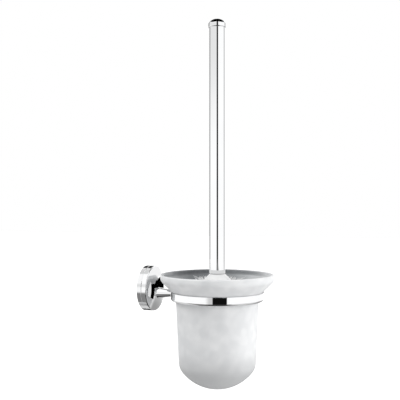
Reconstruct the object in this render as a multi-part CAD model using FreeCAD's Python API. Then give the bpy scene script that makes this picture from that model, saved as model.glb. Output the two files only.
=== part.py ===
import FreeCAD, Part
import math
import os

# Wall-hung toilet brush holder: a round rosette on the wall, a tapered arm, a ring,
# a frosted glass cup hanging in the ring, and a long-handled brush standing in the cup.
# The wall is the plane Y = 0, the room is toward -Y and +Z is up.
# The origin is the centre of the rosette's back, where it meets the wall.

# Rosette, measured outward from the wall
ROSETTE_R = 23.0
PLATE_EDGE = 4.8          # thickness of the plate's visible rim
PLATE_FLOOR = 3.0         # thickness inside the spigot, under the wall screws
SHELL_SIDE = 5.5          # straight side of the shell in front of the plate
DOME_RISE = 4.0
SHELL_WALL = 3.0
SHELL_CEILING = 9.7       # depth of the flat inside face of the shell
SHELL_EDGE_ROUND = 1.3
SEAM_CHAMFER = 0.35
SPIGOT_LENGTH = 4.2
SPIGOT_WALL = 2.8
SPIGOT_GAP = 0.1          # radial clearance between the spigot and the shell
WALL_HOLE_R = 2.5
WALL_HOLE_SPACING = 22.0

# Locking screw in the underside of the shell
GRUB_R = 1.5
GRUB_LENGTH = 3.9
GRUB_DEPTH = 7.2          # distance of its axis from the wall
GRUB_SINK = 0.35          # how far its outer end lies below the surface
GRUB_HEX = 1.5
GRUB_HEX_DEPTH = 1.6
GRUB_TIP_GAP = 0.1

# Arm
ARM_DROP = 4.5            # arm axis below the rosette's centre
ARM_ROOT_R = 5.8
ARM_TIP_R = 2.9
ARM_SOCKET = 1.0          # how deep the root sits in the dome
ARM_SOCKET_GAP = 0.05
TANG_R = 1.6
TANG_LENGTH = 3.0
SCREW_R = 2.0
SCREW_GRIP = 9.0          # length of the screw inside the arm
SCREW_HOLE_GAP = 0.25
SCREW_HEAD_R = 3.5
SCREW_HEAD = 2.6
SCREW_HEX = 2.5
SCREW_HEX_DEPTH = 1.4
WASHER_R = 4.5
WASHER_T = 0.8

# Ring and its liner
REACH = 78.5              # ring and cup axis from the wall
RING_BORE_R = 42.9
RING_WALL = 3.7
RING_H = 8.0
SEAT_LAND = 0.6           # flat top outside the 45 degree seat
RING_TOP_ROUND = 0.2
RING_FOOT_ROUND = 1.3
LINER_T = 1.0
LINER_H = 2.2

# Glass cup
SEAT_GAP = 0.35           # between the glass and the ring's seat
LINER_GAP = 0.55          # between the glass and the liner, on the radius
GLASS_T = 3.2
RIM_FLARE = 10.4          # how far the rim stands out beyond the ring
RIM_UPSTAND = 3.5         # height of the rim above its curve
RIM_ROUND = 6.0
NECK_ROUND = 5.0
CUP_SIDE = 66.5           # tapering wall below the ring
CUP_TAPER = 3.05          # lost on the radius over that height
CUP_DEPTH = 88.5          # lowest point below the ring
BOTTOM_EXTRA = 6.7        # domed bottom's radius beyond the wall's
CORNER_R = 14.0

# Handle
TUBE_R = 8.0
TUBE_WALL = 1.0
TUBE_LENGTH = 246.6
CAP_R = 9.0
CAP_SIDE = 4.4
CAP_RISE = 3.5
CAP_ROUND = 1.6
STEM_R = 3.0
STEM_LENGTH = 14.0
BUSH_LENGTH = 18.0
BUSH_LIP_GAP = 0.2
INSERT_LENGTH = 20.0
STUD_R = 4.0              # M8 thread of the brush head
STUD_IN_TUBE = 16.0
STUD_IN_CORE = 22.0

# Brush head
FLOOR_GAP = 0.4           # between the end tuft and the floor of the cup
HEAD_ABOVE_RIM = 0.2
SEAL_R = 7.6
SEAL_T = 0.6
CONE_H = 7.6
SHIELD_EDGE = 2.2
CORE_R = 9.5
CORE_TOP = 8.0            # height over which the shield narrows to the core
CORE_END_GAP = 13.0       # core's lower end above the end tuft's lowest point
ROW_COUNT = 6
ROW_TOP_GAP = 0.3         # between the shield's taper and the top row, at the roots
ROW_END_GAP = 4.1         # between the lowest row and the end tuft
ROW_ROOT_T = 4.4
ROW_TIP_T = 7.4
BRISTLE_GAP = 5.1         # between the bristle tips and the glass at its narrowest
TUFT_INSET = 3.0          # end tuft's radius less than the rows'
TUFT_BALL_EXTRA = 3.0     # radius of its rounded lower end beyond its own radius
TUFT_H = 18.0
COLLAR_R = 19.5
COLLAR_LIFT = 4.6         # how far the collar's tips stand above their roots
COLLAR_T = 2.4

# Sizes and heights that follow from the ones above
RING_R = RING_BORE_R + RING_WALL
SEAT_TOP_R = RING_R - SEAT_LAND
RING_TOP = RING_H / 2 - ARM_DROP
RING_FOOT = RING_TOP - RING_H
FLARE_LINE = SEAT_TOP_R - RING_TOP - SEAT_GAP * math.sqrt(2)  # radius minus height along the flare
NECK_R = RING_BORE_R - LINER_T - LINER_GAP
FOOT_R = NECK_R - CUP_TAPER
FOOT_Z = RING_FOOT - CUP_SIDE
BOTTOM_Z = RING_FOOT - CUP_DEPTH
BOTTOM_R = FOOT_R + BOTTOM_EXTRA
RIM_R = RING_R + RIM_FLARE
RIM_BEND_Z = RIM_R - RIM_ROUND + RIM_ROUND * math.sqrt(2) - FLARE_LINE
RIM_Z = RIM_BEND_Z + RIM_UPSTAND
TUFT_Z = BOTTOM_Z + GLASS_T + FLOOR_GAP
CORE_END_Z = TUFT_Z + CORE_END_GAP
HEAD_TOP_Z = RIM_Z + HEAD_ABOVE_RIM
TUBE_Z = HEAD_TOP_Z + SEAL_T
TUBE_TOP_Z = TUBE_Z + TUBE_LENGTH
SHIELD_R = TUBE_R + CONE_H
SHIELD_Z = HEAD_TOP_Z - CONE_H - SHIELD_EDGE
ROW_R = FOOT_R - GLASS_T - BRISTLE_GAP
TUFT_R = ROW_R - TUFT_INSET
TUFT_BALL_R = TUFT_R + TUFT_BALL_EXTRA
ROW_TOP_Z = SHIELD_Z - CORE_TOP - ROW_TIP_T / 2 - ROW_TOP_GAP
ROW_LOW_Z = TUFT_Z + TUFT_H + ROW_END_GAP + ROW_TIP_T / 2
ROW_PITCH = (ROW_TOP_Z - ROW_LOW_Z) / (ROW_COUNT - 1)

V = FreeCAD.Vector
UP = V(0, 0, 1)
OUT = V(0, -1, 0)


def upright(r, z):
    """Point of a profile that is turned about the vertical axis."""
    return V(r, 0, z)


def wallward(r, depth):
    """Point of a profile that is turned about the axis square to the wall."""
    return V(r, -depth, 0)


def solid_of(shape):
    """The single solid inside a shape, facing outward."""
    solid = shape.Solids[0]
    if solid.Volume < 0:
        solid.reverse()
    return solid


def turned(start, steps, place, axis):
    """Turn a closed outline. A step is a point, or an arc's middle and end together."""
    edges = []
    here = place(*start)
    for step in list(steps) + [start]:
        there = place(*step[-2:])
        if len(step) == 4:
            edges.append(Part.Arc(here, place(*step[:2]), there).toShape())
        elif (there - here).Length > 1e-6:
            edges.append(Part.makeLine(here, there))
        here = there
    face = Part.Face(Part.Wire(edges))
    return solid_of(face.revolve(V(0, 0, 0), axis, 360))


def turned_up(start, steps):
    return turned(start, steps, upright, UP)


def turned_out(start, steps):
    return turned(start, steps, wallward, OUT)


def on_circle(centre, radius, degrees):
    """Point of a circle in the profile plane."""
    angle = math.radians(degrees)
    return (centre[0] + radius * math.cos(angle), centre[1] + radius * math.sin(angle))


def arc(centre, radius, first, last):
    """Arc step from one direction to another, in degrees."""
    return on_circle(centre, radius, (first + last) / 2) + on_circle(centre, radius, last)


def dome_radius(base_r, rise):
    return (base_r ** 2 + rise ** 2) / (2 * rise)


def dome_steps(base_r, base, rise, at_r):
    """Arc from a dome's edge to its top on the axis; at_r is the arc's middle radius."""
    radius = dome_radius(base_r, rise)
    middle = base + rise - radius + math.sqrt(radius ** 2 - at_r ** 2)
    return (at_r, middle, 0, base + rise)


def ring_edges(shape, radius, height, axis):
    """Circular edges with this radius at this height along an axis."""
    found = []
    for edge in shape.Edges:
        curve = None if edge.Degenerated else edge.Curve
        if isinstance(curve, Part.Circle) and abs(curve.Radius - radius) < 1e-4:
            if abs(curve.Center.dot(axis) - height) < 1e-4:
                found.append(edge)
    return found


def hex_bar(across, length, at, axis):
    """Hexagonal bar for a socket key."""
    side = across / math.sqrt(3)
    frame = FreeCAD.Placement(at, FreeCAD.Rotation(UP, axis))
    corners = [V(side * math.cos(math.radians(60 * i)), side * math.sin(math.radians(60 * i)), 0)
               for i in range(7)]
    bar = Part.Face(Part.makePolygon(corners)).extrude(V(0, 0, length))
    bar.Placement = frame
    return bar


def to_cup(shape):
    """Move a part turned about the origin onto the axis of the cup."""
    shape.translate(V(0, -REACH, 0))
    return shape


def arm_axis(depth):
    return V(0, -depth, -ARM_DROP)


def dome_depth():
    return PLATE_EDGE + SHELL_SIDE + DOME_RISE


def shell_inner_r():
    return ROSETTE_R - SHELL_WALL


def wall_plate():
    spigot_r = shell_inner_r() - SPIGOT_GAP
    spigot_end = PLATE_EDGE + SPIGOT_LENGTH
    plate = turned_out((0, 0), [
        (ROSETTE_R, 0),
        (ROSETTE_R, PLATE_EDGE - SEAM_CHAMFER),
        (ROSETTE_R - SEAM_CHAMFER, PLATE_EDGE),
        (spigot_r, PLATE_EDGE),
        (spigot_r, spigot_end),
        (spigot_r - SPIGOT_WALL, spigot_end),
        (spigot_r - SPIGOT_WALL, PLATE_FLOOR),
        (0, PLATE_FLOOR),
    ])
    for side in (-1, 1):
        centre = V(side * WALL_HOLE_SPACING / 2, 1, 0)
        plate = plate.cut(Part.makeCylinder(WALL_HOLE_R, PLATE_FLOOR + 2, centre, OUT))
    tip = grub_tip_z() - GRUB_TIP_GAP
    dimple = Part.makeCylinder(GRUB_R + GRUB_TIP_GAP, tip + ROSETTE_R, V(0, -GRUB_DEPTH, -ROSETTE_R), UP)
    return plate.cut(dimple)


def grub_tip_z():
    """Height of the locking screw's inner end; it ends inside the spigot's wall."""
    return -ROSETTE_R + GRUB_SINK + GRUB_LENGTH + GRUB_TIP_GAP


def rosette_shell():
    side_end = PLATE_EDGE + SHELL_SIDE
    shell = turned_out((shell_inner_r(), PLATE_EDGE), [
        (ROSETTE_R - SEAM_CHAMFER, PLATE_EDGE),
        (ROSETTE_R, PLATE_EDGE + SEAM_CHAMFER),
        (ROSETTE_R, side_end),
        dome_steps(ROSETTE_R, side_end, DOME_RISE, ROSETTE_R / 2),
        (0, SHELL_CEILING),
        (shell_inner_r(), SHELL_CEILING),
    ])
    shell = shell.makeFillet(SHELL_EDGE_ROUND, ring_edges(shell, ROSETTE_R, side_end, OUT))
    socket_r = ARM_ROOT_R + ARM_SOCKET_GAP
    shell = shell.cut(Part.makeCylinder(socket_r, 10, arm_axis(dome_depth() - ARM_SOCKET), OUT))
    shell = shell.cut(Part.makeCylinder(SCREW_R + SCREW_HOLE_GAP, dome_depth(), arm_axis(PLATE_FLOOR), OUT))
    grub_hole = Part.makeCylinder(GRUB_R, SHELL_WALL + 2, V(0, -GRUB_DEPTH, -ROSETTE_R - 1), UP)
    return solid_of(shell.cut(grub_hole))


def grub_screw():
    outer = V(0, -GRUB_DEPTH, -ROSETTE_R + GRUB_SINK)
    straight = GRUB_LENGTH - GRUB_R / 2
    body = Part.makeCylinder(GRUB_R, straight, outer, UP)
    tip = Part.makeCone(GRUB_R, GRUB_R / 2, GRUB_R / 2, outer + UP * straight, UP)
    return solid_of(body.fuse(tip).cut(hex_bar(GRUB_HEX, GRUB_HEX_DEPTH, outer, UP)).removeSplitter())


def arm():
    root = dome_depth() - ARM_SOCKET
    length = REACH - RING_R - root
    cone = Part.makeCone(ARM_ROOT_R, ARM_TIP_R, length, arm_axis(root), OUT)
    foot = Part.makeCylinder(ARM_TIP_R, RING_R - RING_BORE_R, arm_axis(root + length), OUT)
    body = cone.fuse(foot).cut(ring_outer())
    tang = Part.makeCylinder(TANG_R, TANG_LENGTH + ARM_TIP_R, arm_axis(REACH - RING_R - ARM_TIP_R), OUT)
    thread = Part.makeCylinder(SCREW_R, SCREW_GRIP, arm_axis(root), OUT)
    return solid_of(body.fuse(tang).cut(thread).removeSplitter())


def arm_screw():
    seat = SHELL_CEILING - WASHER_T
    grip = dome_depth() - ARM_SOCKET + SCREW_GRIP - seat
    shank = Part.makeCylinder(SCREW_R, grip, arm_axis(seat), OUT)
    head = Part.makeCylinder(SCREW_HEAD_R, SCREW_HEAD, arm_axis(seat - SCREW_HEAD), OUT)
    head = head.makeFillet(SCREW_HEAD / 3, ring_edges(head, SCREW_HEAD_R, seat - SCREW_HEAD, OUT))
    key = hex_bar(SCREW_HEX, SCREW_HEX_DEPTH, arm_axis(seat - SCREW_HEAD), OUT)
    return solid_of(shank.fuse(head).cut(key))


def arm_washer():
    disc = Part.makeCylinder(WASHER_R, WASHER_T, arm_axis(SHELL_CEILING - WASHER_T), OUT)
    hole = Part.makeCylinder(SCREW_R + SCREW_HOLE_GAP, WASHER_T, arm_axis(SHELL_CEILING - WASHER_T), OUT)
    return solid_of(disc.cut(hole))


def ring_outer():
    """The full barrel inside the ring's outside face, used to shape the arm's end."""
    return to_cup(Part.makeCylinder(RING_R, RING_H * 3, V(0, 0, RING_FOOT - RING_H), UP))


def ring():
    seat_foot = RING_TOP - (SEAT_TOP_R - RING_BORE_R)
    band = turned_up((RING_R, RING_FOOT), [
        (RING_R, RING_TOP),
        (SEAT_TOP_R, RING_TOP),
        (RING_BORE_R, seat_foot),
        (RING_BORE_R, RING_FOOT),
    ])
    band = band.makeFillet(RING_FOOT_ROUND, ring_edges(band, RING_R, RING_FOOT, UP))
    band = band.makeFillet(RING_TOP_ROUND, ring_edges(band, RING_R, RING_TOP, UP))
    hole = Part.makeCylinder(TANG_R, TANG_LENGTH + 1, V(0, RING_R + 1, -ARM_DROP), OUT)
    return to_cup(solid_of(band.cut(hole)))


def ring_liner():
    band = turned_up((RING_BORE_R, RING_FOOT), [
        (RING_BORE_R - LINER_T, RING_FOOT),
        (RING_BORE_R - LINER_T, RING_FOOT + LINER_H - LINER_T / 2),
        (RING_BORE_R - LINER_T / 2, RING_FOOT + LINER_H),
        (RING_BORE_R, RING_FOOT + LINER_H),
    ])
    return to_cup(band)


def cup_slope():
    """Lean of the cup's wall from vertical, in degrees; the wall widens upward."""
    return math.degrees(math.atan2(CUP_TAPER, CUP_SIDE))


def neck_centre():
    """Centre of the hollow curve between the wall and the flare, outside the glass."""
    lean = math.tan(math.radians(cup_slope()))
    from_wall = NECK_ROUND / math.cos(math.radians(cup_slope()))
    from_flare = FLARE_LINE + NECK_ROUND * math.sqrt(2)
    z = (from_wall + NECK_R - lean * RING_FOOT - from_flare) / (1 - lean)
    return (from_flare + z, z)


def corner_centre():
    """Centre of the curve that joins the wall to the domed bottom."""
    lean = math.tan(math.radians(cup_slope()))
    wall = FOOT_R - CORNER_R / math.cos(math.radians(cup_slope()))
    dome_z = BOTTOM_Z + BOTTOM_R
    reach = BOTTOM_R - CORNER_R
    rise = wall + lean * (dome_z - FOOT_Z)
    a = 1 + lean ** 2
    b = 2 * lean * rise
    c = rise ** 2 - reach ** 2
    drop = (-b - math.sqrt(b ** 2 - 4 * a * c)) / (2 * a)
    return (rise + lean * drop, dome_z + drop)


def cup_side(inset):
    """Steps up the cup's side from the axis, a fixed distance inside its outside face."""
    slope = cup_slope()
    dome = (0, BOTTOM_Z + BOTTOM_R)
    corner = corner_centre()
    joint = math.degrees(math.atan2(corner[1] - dome[1], corner[0]))
    neck = neck_centre()
    rim = (RIM_R - RIM_ROUND, RIM_BEND_Z)
    return [
        arc(dome, BOTTOM_R - inset, -90, joint),
        arc(corner, CORNER_R - inset, joint, -slope),
        on_circle(neck, NECK_ROUND + inset, 180 - slope),
        arc(neck, NECK_ROUND + inset, 180 - slope, 135),
        on_circle(rim, RIM_ROUND - inset, -45),
        arc(rim, RIM_ROUND - inset, -45, 0),
        (RIM_R - inset, RIM_Z - GLASS_T / 2),
    ]


def glass_cup():
    outside = cup_side(0)
    lip = (RIM_R - GLASS_T / 2, RIM_Z, RIM_R - GLASS_T, RIM_Z - GLASS_T / 2)
    full = turned_up((0, BOTTOM_Z), outside + [lip, (0, RIM_Z - GLASS_T / 2)])
    inside = turned_up((0, BOTTOM_Z + GLASS_T), cup_side(GLASS_T) + [(0, RIM_Z - GLASS_T / 2)])
    top = Part.makeCylinder(RIM_R - GLASS_T, GLASS_T, V(0, 0, RIM_Z - GLASS_T / 2), UP)
    return to_cup(solid_of(full.cut(inside.fuse(top))))


def handle_tube():
    outer = Part.makeCylinder(TUBE_R, TUBE_LENGTH, V(0, 0, TUBE_Z), UP)
    bore = Part.makeCylinder(TUBE_R - TUBE_WALL, TUBE_LENGTH, V(0, 0, TUBE_Z), UP)
    return to_cup(solid_of(outer.cut(bore)))


def handle_cap():
    side_top = TUBE_TOP_Z + CAP_SIDE
    cap = turned_up((0, TUBE_TOP_Z - STEM_LENGTH), [
        (STEM_R, TUBE_TOP_Z - STEM_LENGTH),
        (STEM_R, TUBE_TOP_Z),
        (CAP_R, TUBE_TOP_Z),
        (CAP_R, side_top),
        dome_steps(CAP_R, side_top, CAP_RISE, CAP_R / 2),
    ])
    cap = cap.makeFillet(CAP_ROUND, ring_edges(cap, CAP_R, TUBE_TOP_Z, UP))
    cap = cap.makeFillet(CAP_ROUND / 2, ring_edges(cap, CAP_R, side_top, UP))
    return to_cup(solid_of(cap))


def cap_bush():
    foot = V(0, 0, TUBE_TOP_Z - BUSH_LENGTH)
    length = BUSH_LENGTH - BUSH_LIP_GAP
    bush = Part.makeCylinder(TUBE_R - TUBE_WALL, length, foot, UP)
    return to_cup(solid_of(bush.cut(Part.makeCylinder(STEM_R, length, foot, UP))))


def tube_insert():
    foot = V(0, 0, TUBE_Z)
    body = Part.makeCylinder(TUBE_R - TUBE_WALL, INSERT_LENGTH, foot, UP)
    return to_cup(solid_of(body.cut(Part.makeCylinder(STUD_R, INSERT_LENGTH, foot, UP))))


def head_seal():
    foot = V(0, 0, HEAD_TOP_Z)
    disc = Part.makeCylinder(SEAL_R, SEAL_T, foot, UP)
    return to_cup(solid_of(disc.cut(Part.makeCylinder(STUD_R, SEAL_T, foot, UP))))


def head_stud():
    foot = V(0, 0, HEAD_TOP_Z - STUD_IN_CORE)
    stud = Part.makeCylinder(STUD_R, STUD_IN_CORE + SEAL_T + STUD_IN_TUBE, foot, UP)
    ends = ring_edges(stud, STUD_R, foot.z, UP) + ring_edges(stud, STUD_R, TUBE_Z + STUD_IN_TUBE, UP)
    return to_cup(solid_of(stud.makeChamfer(0.6, ends)))


def core_outline():
    """The moulded head from its rounded lower end up to the cone under the handle."""
    end = (0, CORE_END_Z + CORE_R)
    return [
        arc(end, CORE_R, -90, 0),
        (CORE_R, SHIELD_Z - CORE_TOP),
        (SHIELD_R, SHIELD_Z),
        (SHIELD_R, SHIELD_Z + SHIELD_EDGE),
        (TUBE_R, HEAD_TOP_Z),
        (0, HEAD_TOP_Z),
    ]


def brush_core():
    core = turned_up((0, CORE_END_Z), core_outline())
    core = core.makeFillet(SHIELD_EDGE * 0.45, ring_edges(core, SHIELD_R, SHIELD_Z, UP))
    foot = V(0, 0, HEAD_TOP_Z - STUD_IN_CORE)
    return to_cup(solid_of(core.cut(Part.makeCylinder(STUD_R, STUD_IN_CORE, foot, UP))))


def bristle_row(index):
    """One ring of bristles around the core, thicker at the tips than at the roots."""
    z = ROW_TOP_Z - index * ROW_PITCH
    return to_cup(turned_up((CORE_R, z - ROW_ROOT_T / 2), [
        (ROW_R, z - ROW_TIP_T / 2),
        (ROW_R, z + ROW_TIP_T / 2),
        (CORE_R, z + ROW_ROOT_T / 2),
    ]))


def bristle_collar():
    """Short bristles that lean upward around the edge of the shield."""
    z = SHIELD_Z + SHIELD_EDGE - COLLAR_T / 2 - 0.6
    return to_cup(turned_up((SHIELD_R, z - COLLAR_T / 2 + 0.2), [
        (COLLAR_R, z + COLLAR_LIFT - COLLAR_T / 2),
        (COLLAR_R - COLLAR_T / 2, z + COLLAR_LIFT + COLLAR_T / 2),
        (SHIELD_R, z + COLLAR_T / 2),
    ]))


def end_tuft():
    """Domed tuft that wraps the core's lower end."""
    top = TUFT_Z + TUFT_H
    ball = (0, TUFT_Z + TUFT_BALL_R)
    tuft = turned_up((0, TUFT_Z), [
        arc(ball, TUFT_BALL_R, -90, -math.degrees(math.acos(TUFT_R / TUFT_BALL_R))),
        (TUFT_R, top),
        (0, top),
    ])
    return to_cup(solid_of(tuft.cut(turned_up((0, CORE_END_Z), core_outline()))))


def save(name, shape):
    shape.exportStep(os.path.join("parts", name + ".step"))


def main():
    os.makedirs("parts", exist_ok=True)
    pieces = [
        wall_plate, rosette_shell, grub_screw, arm, arm_screw, arm_washer, ring, ring_liner,
        glass_cup, handle_tube, handle_cap, cap_bush, tube_insert, head_seal, head_stud,
        brush_core, bristle_collar, end_tuft,
    ]
    for piece in pieces:
        save(piece.__name__, piece())
    for index in range(ROW_COUNT):
        save("bristle_row_%d" % (index + 1), bristle_row(index))


main()
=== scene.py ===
import logging
import math
import random
from dataclasses import dataclass, field
from enum import Enum
from typing import Any, Callable, ClassVar, Union

import bmesh
import bpy
from mathutils import Matrix, Vector


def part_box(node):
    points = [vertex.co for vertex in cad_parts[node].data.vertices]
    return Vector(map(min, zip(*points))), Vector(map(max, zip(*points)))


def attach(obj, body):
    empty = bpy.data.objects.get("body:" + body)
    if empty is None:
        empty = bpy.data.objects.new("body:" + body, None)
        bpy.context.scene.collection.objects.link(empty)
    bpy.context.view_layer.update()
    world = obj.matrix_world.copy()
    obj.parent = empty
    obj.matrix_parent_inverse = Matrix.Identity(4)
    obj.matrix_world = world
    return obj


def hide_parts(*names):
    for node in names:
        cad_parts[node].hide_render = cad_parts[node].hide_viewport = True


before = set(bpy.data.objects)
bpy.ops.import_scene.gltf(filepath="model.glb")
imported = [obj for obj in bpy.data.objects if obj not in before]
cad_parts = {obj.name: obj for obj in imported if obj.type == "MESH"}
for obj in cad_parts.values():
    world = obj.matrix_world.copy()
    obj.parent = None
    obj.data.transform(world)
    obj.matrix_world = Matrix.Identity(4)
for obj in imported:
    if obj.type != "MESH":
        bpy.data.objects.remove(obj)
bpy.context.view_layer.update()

MM = 0.001
LOG = logging.getLogger("brush_holder")
Number = Union[float, "Value"]
Shape = bmesh.types.BMesh
Colour = tuple[float, float, float, float]


# ---------------------------------------------------------------- sizes from the frame


@dataclass(frozen=True)
class Extent:
    """How far a CAD node reaches, in millimetres; near and far are distances from the wall."""

    radius: float
    foot: float
    top: float
    near: float
    far: float

    @property
    def middle(self) -> float:
        """Height halfway up."""
        return (self.foot + self.top) / 2


def extent(node: str) -> Extent:
    """Measure a CAD node.

    Args:
        node: its name.

    Returns:
        Its extent, to a thousandth of a millimetre.
    """
    low, high = ([round(part / MM, 3) for part in corner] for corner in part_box(node))
    return Extent(high[0], low[2], high[2], -high[1], -low[1])


REACH = (extent("ring").near + extent("ring").far) / 2
ARM_HEIGHT = extent("arm").middle


# ---------------------------------------------------------------- shader recipes


class Value:
    """A number that changes over a surface, written as an ordinary expression."""

    def __init__(self, recipe: "Recipe", socket: bpy.types.NodeSocket) -> None:
        """Wrap one output socket of a recipe."""
        self.recipe = recipe
        self.socket = socket

    def __add__(self, other: Number) -> "Value":
        """Sum."""
        return self.recipe.math("ADD", self, other)

    __radd__ = __add__

    def __sub__(self, other: Number) -> "Value":
        """Difference."""
        return self.recipe.math("SUBTRACT", self, other)

    def __rsub__(self, other: Number) -> "Value":
        """Difference, with the plain number first."""
        return self.recipe.math("SUBTRACT", other, self)

    def __mul__(self, other: Number) -> "Value":
        """Product."""
        return self.recipe.math("MULTIPLY", self, other)

    __rmul__ = __mul__

    def rise(self, low: float, high: float) -> "Value":
        """Smooth step.

        Args:
            low: where the result is 0.
            high: where the result is 1; it may lie below low.

        Returns:
            0 to 1, eased at both ends.
        """
        return self.recipe.value(
            "ShaderNodeMapRange",
            {"interpolation_type": "SMOOTHSTEP"},
            {"Value": self, "From Min": low, "From Max": high},
        )

    def band(self, low: float, high: float, soft: float) -> "Value":
        """Smooth window.

        Args:
            low: lower edge.
            high: upper edge.
            soft: half the width over which each edge fades.

        Returns:
            1 between the edges and 0 outside them.
        """
        return self.rise(low - soft, low + soft) * self.rise(high + soft, high - soft)


class Recipe:
    """The node tree of one finish, or of the surroundings."""

    def __init__(self, tree: bpy.types.NodeTree) -> None:
        """Start an empty tree."""
        self.tree = tree
        tree.nodes.clear()

    def node(self, kind: str, settings: dict[str, Any], inputs: dict[Any, Any]) -> bpy.types.Node:
        """Add any node.

        Args:
            kind: the node's type name.
            settings: its properties, set before its sockets are used.
            inputs: socket name or number to a plain value, a socket or a Value.

        Returns:
            The new node.
        """
        node = self.tree.nodes.new(kind)
        for name, setting in settings.items():
            setattr(node, name, setting)
        for name, given in inputs.items():
            socket = node.inputs[name]
            if isinstance(given, Value):
                self.tree.links.new(given.socket, socket)
            elif isinstance(given, bpy.types.NodeSocket):
                self.tree.links.new(given, socket)
            else:
                socket.default_value = given
        return node

    def value(
        self, kind: str, settings: dict[str, Any], inputs: dict[Any, Any], output: Any = 0
    ) -> Value:
        """Add a node and wrap one of its outputs as a Value."""
        return Value(self, self.node(kind, settings, inputs).outputs[output])

    def math(self, operation: str, *values: Number) -> Value:
        """Add one Math node over plain numbers or Values."""
        return self.value("ShaderNodeMath", {"operation": operation}, dict(enumerate(values)))

    def place(self, stretch: tuple[float, float, float] = (1, 1, 1)) -> bpy.types.NodeSocket:
        """Position on the piece in metres.

        Args:
            stretch: factor along each axis, so that a pattern can run along one of them.

        Returns:
            A vector socket.
        """
        spot = self.node("ShaderNodeTexCoord", {}, {}).outputs["Object"]
        return self.node("ShaderNodeMapping", {}, {"Vector": spot, "Scale": stretch}).outputs[0]

    def noise(self, place: bpy.types.NodeSocket, size: float, detail: float = 2.0) -> Value:
        """Cloudy noise.

        Args:
            place: where it is read.
            size: width of one cloud in millimetres.
            detail: how many finer layers are added.

        Returns:
            Roughly 0.2 to 0.8, around 0.5.
        """
        inputs = {"Vector": place, "Scale": 1 / (size * MM), "Detail": detail}
        return self.value("ShaderNodeTexNoise", {}, inputs, "Fac")

    def blend(self, share: Number, first: Any, second: Any) -> bpy.types.NodeSocket:
        """Mix two colours.

        Args:
            share: 0 for the first colour, 1 for the second.
            first: colour or socket.
            second: colour or socket.

        Returns:
            A colour socket.
        """
        return self.node(
            "ShaderNodeMix", {"data_type": "RGBA"}, {0: share, 6: first, 7: second}
        ).outputs[2]

    def bump(self, height: Value, depth: float) -> bpy.types.NodeSocket:
        """Relief from a height, with its depth in millimetres."""
        return self.node(
            "ShaderNodeBump", {}, {"Height": height, "Distance": depth * MM, "Strength": 1.0}
        ).outputs[0]

    def surface(self, inputs: dict[str, Any]) -> None:
        """Finish the tree with a Principled surface."""
        shader = self.node("ShaderNodeBsdfPrincipled", {}, inputs)
        self.node("ShaderNodeOutputMaterial", {}, {"Surface": shader.outputs[0]})


def grey(level: float, warmth: float = 0.0) -> Colour:
    """A near-neutral colour; a positive warmth leans to red, a negative one to blue."""
    return (level * (1 + warmth), level, level * (1 - warmth), 1.0)


# ---------------------------------------------------------------- finishes

MADE: dict[str, bpy.types.Material] = {}


@dataclass(frozen=True)
class Finish:
    """What every finish has: a name and the slot that it stands for."""

    name: str
    slot: str

    def mix(self, recipe: Recipe) -> None:
        """Fill the recipe; each finish has its own."""
        raise NotImplementedError

    def material(self) -> bpy.types.Material:
        """Make the finish's material, once.

        Returns:
            The material.
        """
        if self.name not in MADE:
            made = bpy.data.materials.new(self.name)
            made.use_nodes = True
            self.mix(Recipe(made.node_tree))
            MADE[self.name] = made
        return MADE[self.name]


@dataclass(frozen=True)
class Metal(Finish):
    """Polished or plated metal with faint wipe marks and specks."""

    tone: float = 0.88
    warmth: float = -0.006
    polish: float = 0.03
    marks: float = 0.05
    mark_size: float = 14.0
    specks: float = 0.006
    fade: float = 0.965
    grain: tuple[float, float, float] = (1.0, 1.0, 1.0)
    tint: tuple[float, float, float] | None = None

    def mix(self, recipe: Recipe) -> None:
        """Colour a little uneven, gloss broken by wipe marks and fine specks.

        Args:
            recipe: the empty tree to fill.
        """
        spot = recipe.place(self.grain)
        wipes = recipe.noise(spot, self.mark_size, 4.0).rise(0.42, 0.72)
        specks = recipe.noise(spot, 1.1, 1.0).rise(0.66, 0.80)
        clean = (*self.tint, 1.0) if self.tint else grey(self.tone, self.warmth)
        dull = tuple(self.fade * part for part in clean[:3]) + (1.0,)
        recipe.surface({
            "Base Color": recipe.blend(wipes * 0.7 + specks * 0.3, clean, dull),
            "Metallic": 1.0,
            "Roughness": wipes * self.marks + specks * self.specks + self.polish,
        })


@dataclass(frozen=True)
class FrostedGlass(Finish):
    """Satin outside of the cup: pale, softly clouded, with a fine etched grain.

    Toward its foot, over the heights given in millimetres above the foot, it turns darker: painted shade.
    """

    pale: float = 0.93
    cloud: float = 0.81
    # colour of the painted shade at the foot
    shade: float = 0.52
    gloss: float = 0.42
    foot: float = extent("glass_cup").foot
    painted_shade_heights: tuple[float, float] = (46.0, 16.0)

    def mix(self, recipe: Recipe) -> None:
        """Clouds of two sizes in the colour, and etched grain in the relief.

        Args:
            recipe: the empty tree to fill.
        """
        spot = recipe.place()
        clouds = recipe.noise(spot, 20.0, 1.0).rise(0.34, 0.68) * 0.6
        puffs = recipe.noise(spot, 9.0, 0.0).rise(0.42, 0.74) * 0.4
        grain = recipe.noise(spot, 0.35, 1.0)
        height = recipe.value("ShaderNodeSeparateXYZ", {}, {0: spot}, "Z")
        # painted shade: the base colour darkens toward the cup's foot
        painted_foot_shade = height.rise(*((self.foot + above) * MM for above in self.painted_shade_heights))
        cloudy = recipe.blend(clouds + puffs, grey(self.cloud, -0.014), grey(self.pale, -0.008))
        recipe.surface({
            "Base Color": recipe.blend(painted_foot_shade * 0.75, cloudy, grey(self.shade, -0.012)),
            "Roughness": grain * 0.08 + (self.gloss - 0.04),
            "Specular IOR Level": 0.15,
            "Subsurface Weight": 0.12,
            "Subsurface Radius": (1.0, 1.0, 1.0),
            "Subsurface Scale": 0.003,
            "Normal": recipe.bump(grain, 0.012),
        })


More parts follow.
